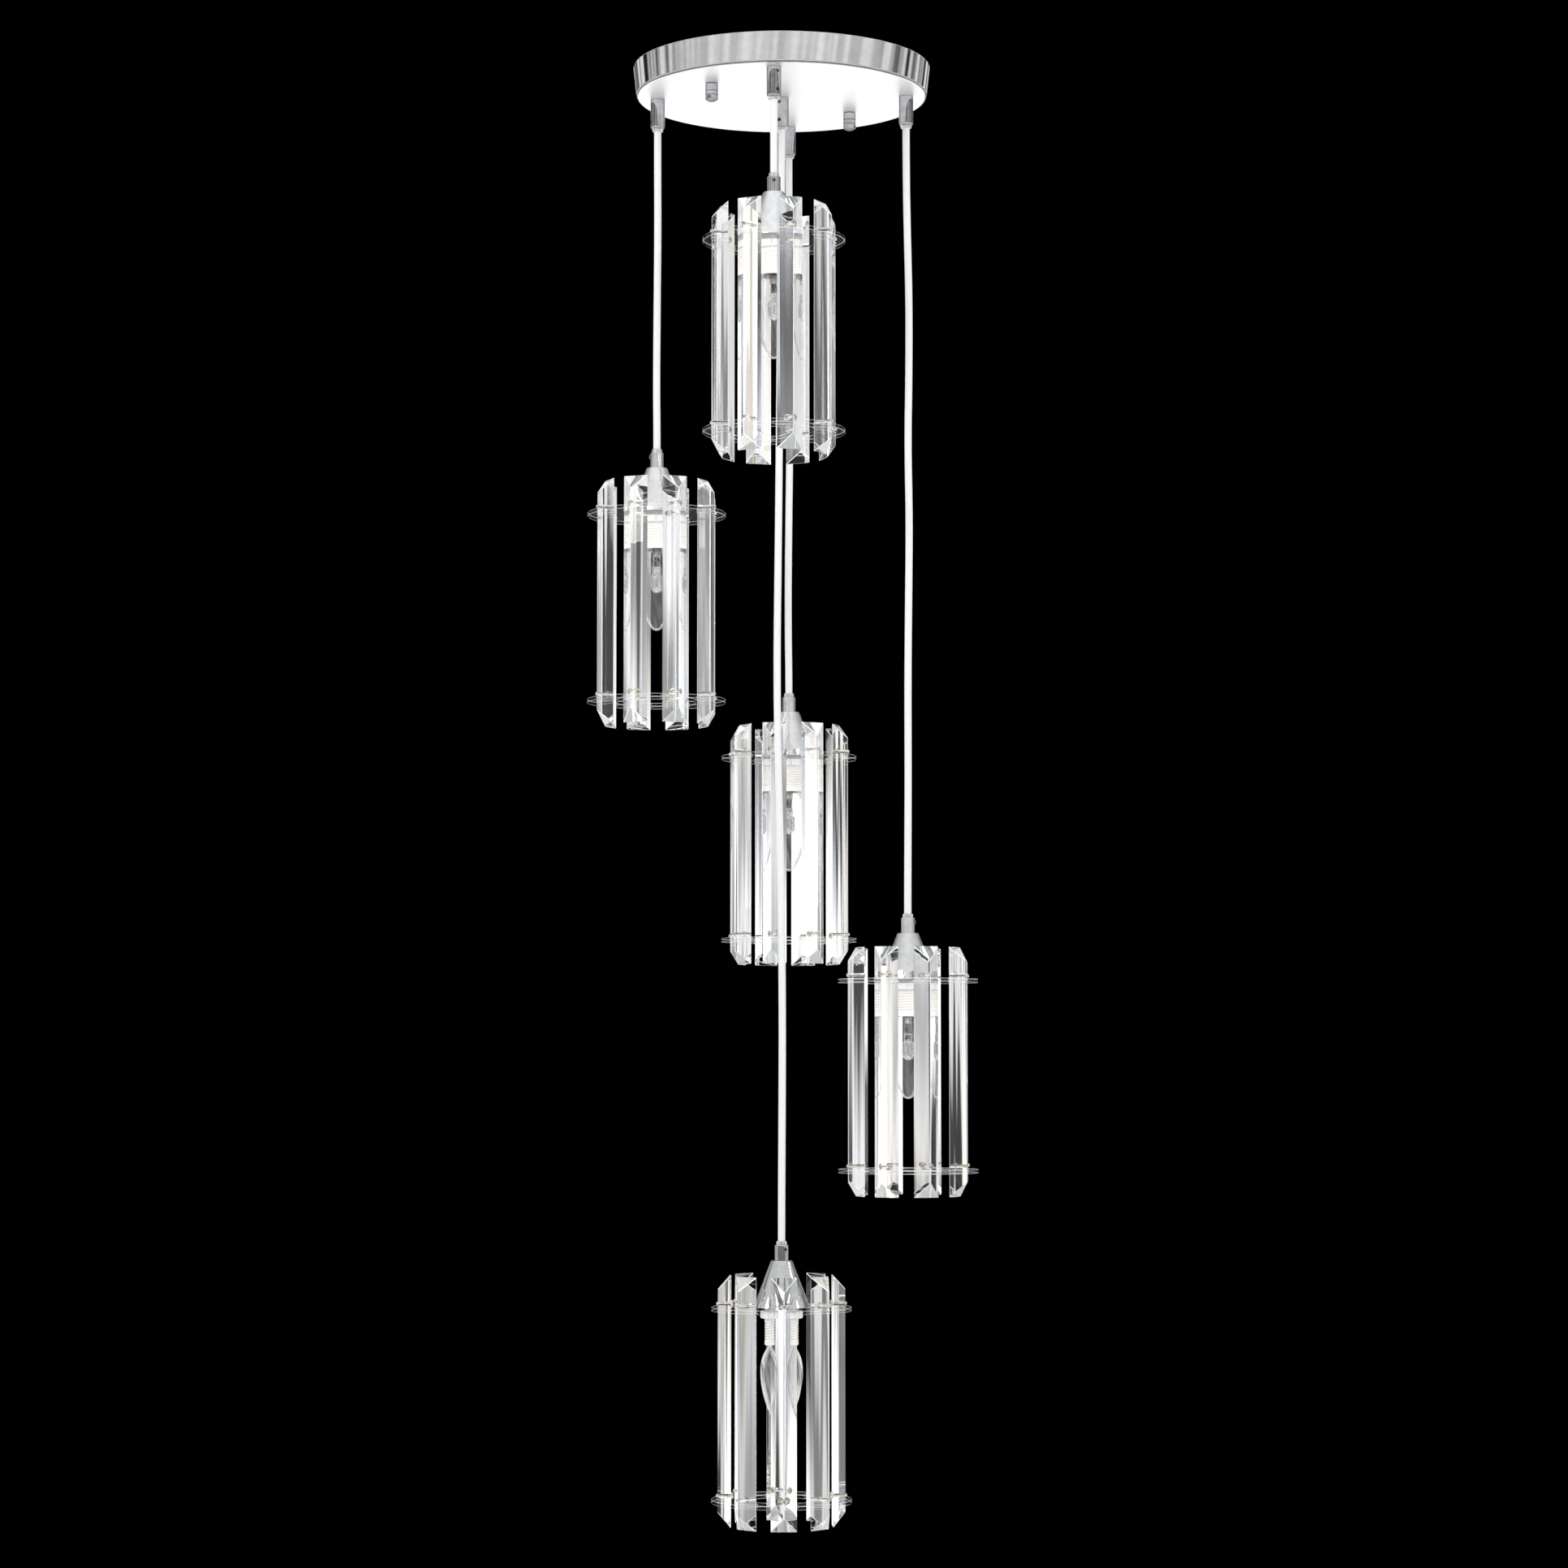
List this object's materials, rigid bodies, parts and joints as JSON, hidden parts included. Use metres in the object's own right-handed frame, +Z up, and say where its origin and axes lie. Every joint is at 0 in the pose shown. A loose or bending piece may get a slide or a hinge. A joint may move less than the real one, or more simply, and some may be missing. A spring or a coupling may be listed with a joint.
{
  "type": "cluster pendant light",
  "caption": "Cluster pendant: round chrome canopy with glass prism shades hung on clear cables at stepped heights, each with a candle bulb.",
  "frame": {"origin": "centre of the ceiling plane, midway between the bracket's two ceiling holes", "axes": "+Z up, out of the ceiling face; -Y towards the side it is normally seen from; +X to the right seen from there"},
  "size_m": [0.3256, 0.3256, 1.2176],
  "materials": {
    "chrome": "polished",
    "zinc_steel": "zinc plated",
    "brass": "bright",
    "white_plastic": "satin",
    "lead_sleeve": "matt sleeve",
    "clear_plastic": "clear",
    "clear_cable": "clear sheath",
    "clear_disc": "clear polished",
    "prism_glass": "clear polished",
    "bulb_glass": "clear"
  },
  "bodies": {
    "ceiling_plate": {"canopy": "chrome", "ceiling_bracket": "zinc_steel", "bracket_studs": "zinc_steel", "cap_nuts": "chrome", "canopy_glands": "chrome", "gland_locknuts": "zinc_steel", "gland_collars": "clear_plastic", "gland_set_screws": "brass", "terminal_block": "white_plastic", "canopy_leads": "lead_sleeve"},
    "cable_1": {"cable_1": "clear_cable"},
    "shade_1": {"cord_grip_1": "chrome", "shade_cone_1": "chrome", "upper_disc_1": "clear_disc", "lower_disc_1": "clear_disc", "prisms_1": "prism_glass", "prism_screws_1": "brass", "lampholder_1": "white_plastic"},
    "bulb_1": {"bulb_glass_1": "bulb_glass", "bulb_cap_1": "brass"},
    "cable_2": {"cable_2": "clear_cable"},
    "shade_2": {"cord_grip_2": "chrome", "shade_cone_2": "chrome", "upper_disc_2": "clear_disc", "lower_disc_2": "clear_disc", "prisms_2": "prism_glass", "prism_screws_2": "brass", "lampholder_2": "white_plastic"},
    "bulb_2": {"bulb_glass_2": "bulb_glass", "bulb_cap_2": "brass"},
    "cable_3": {"cable_3": "clear_cable"},
    "shade_3": {"cord_grip_3": "chrome", "shade_cone_3": "chrome", "upper_disc_3": "clear_disc", "lower_disc_3": "clear_disc", "prisms_3": "prism_glass", "prism_screws_3": "brass", "lampholder_3": "white_plastic"},
    "bulb_3": {"bulb_glass_3": "bulb_glass", "bulb_cap_3": "brass"},
    "cable_4": {"cable_4": "clear_cable"},
    "shade_4": {"cord_grip_4": "chrome", "shade_cone_4": "chrome", "upper_disc_4": "clear_disc", "lower_disc_4": "clear_disc", "prisms_4": "prism_glass", "prism_screws_4": "brass", "lampholder_4": "white_plastic"},
    "bulb_4": {"bulb_glass_4": "bulb_glass", "bulb_cap_4": "brass"},
    "cable_5": {"cable_5": "clear_cable"},
    "shade_5": {"cord_grip_5": "chrome", "shade_cone_5": "chrome", "upper_disc_5": "clear_disc", "lower_disc_5": "clear_disc", "prisms_5": "prism_glass", "prism_screws_5": "brass", "lampholder_5": "white_plastic"},
    "bulb_5": {"bulb_glass_5": "bulb_glass", "bulb_cap_5": "brass"}
  },
  "joints": [
    {"name": "swing_1", "type": "hinge", "parent": "ceiling_plate", "child": "cable_1", "pos_m": [-0.00623, -0.10482, -0.05], "axis": [-0.9982, 0.0593, 0], "range_deg": [-1, 12]},
    {"name": "turn_1", "type": "hinge", "parent": "cable_1", "child": "shade_1", "pos_m": [-0.00623, -0.10482, -0.1239], "axis": [0, 0, 1], "range_deg": [-180, 180]},
    {"name": "unscrew_1", "type": "slide", "parent": "shade_1", "child": "bulb_1", "axis": [0, 0, -1], "range_m": [0, 0.022]},
    {"name": "swing_2", "type": "hinge", "parent": "ceiling_plate", "child": "cable_2", "pos_m": [-0.10482, 0.00623, -0.05], "axis": [0.0593, 0.9982, 0], "range_deg": [-1, 12]},
    {"name": "turn_2", "type": "hinge", "parent": "cable_2", "child": "shade_2", "pos_m": [-0.10482, 0.00623, -0.3339], "axis": [0, 0, 1], "range_deg": [-180, 180]},
    {"name": "unscrew_2", "type": "slide", "parent": "shade_2", "child": "bulb_2", "axis": [0, 0, -1], "range_m": [0, 0.022]},
    {"name": "swing_3", "type": "hinge", "parent": "ceiling_plate", "child": "cable_3", "pos_m": [0.00623, 0.10482, -0.05], "axis": [0.9982, -0.0593, 0], "range_deg": [-1, 12]},
    {"name": "turn_3", "type": "hinge", "parent": "cable_3", "child": "shade_3", "pos_m": [0.00623, 0.10482, -0.5309], "axis": [0, 0, 1], "range_deg": [-180, 180]},
    {"name": "unscrew_3", "type": "slide", "parent": "shade_3", "child": "bulb_3", "axis": [0, 0, -1], "range_m": [0, 0.022]},
    {"name": "swing_4", "type": "hinge", "parent": "ceiling_plate", "child": "cable_4", "pos_m": [0.10482, -0.00623, -0.05], "axis": [-0.0593, -0.9982, 0], "range_deg": [-1, 12]},
    {"name": "turn_4", "type": "hinge", "parent": "cable_4", "child": "shade_4", "pos_m": [0.10482, -0.00623, -0.7249], "axis": [0, 0, 1], "range_deg": [-180, 180]},
    {"name": "unscrew_4", "type": "slide", "parent": "shade_4", "child": "bulb_4", "axis": [0, 0, -1], "range_m": [0, 0.022]},
    {"name": "swing_5", "type": "hinge", "parent": "ceiling_plate", "child": "cable_5", "pos_m": [0, 0, -0.05], "axis": [0.6639, -0.7478, 0], "range_deg": [-12, 12]},
    {"name": "turn_5", "type": "hinge", "parent": "cable_5", "child": "shade_5", "pos_m": [0, 0, -0.9954], "axis": [0, 0, 1], "range_deg": [-180, 180]},
    {"name": "unscrew_5", "type": "slide", "parent": "shade_5", "child": "bulb_5", "axis": [0, 0, -1], "range_m": [0, 0.022]}
  ]
}
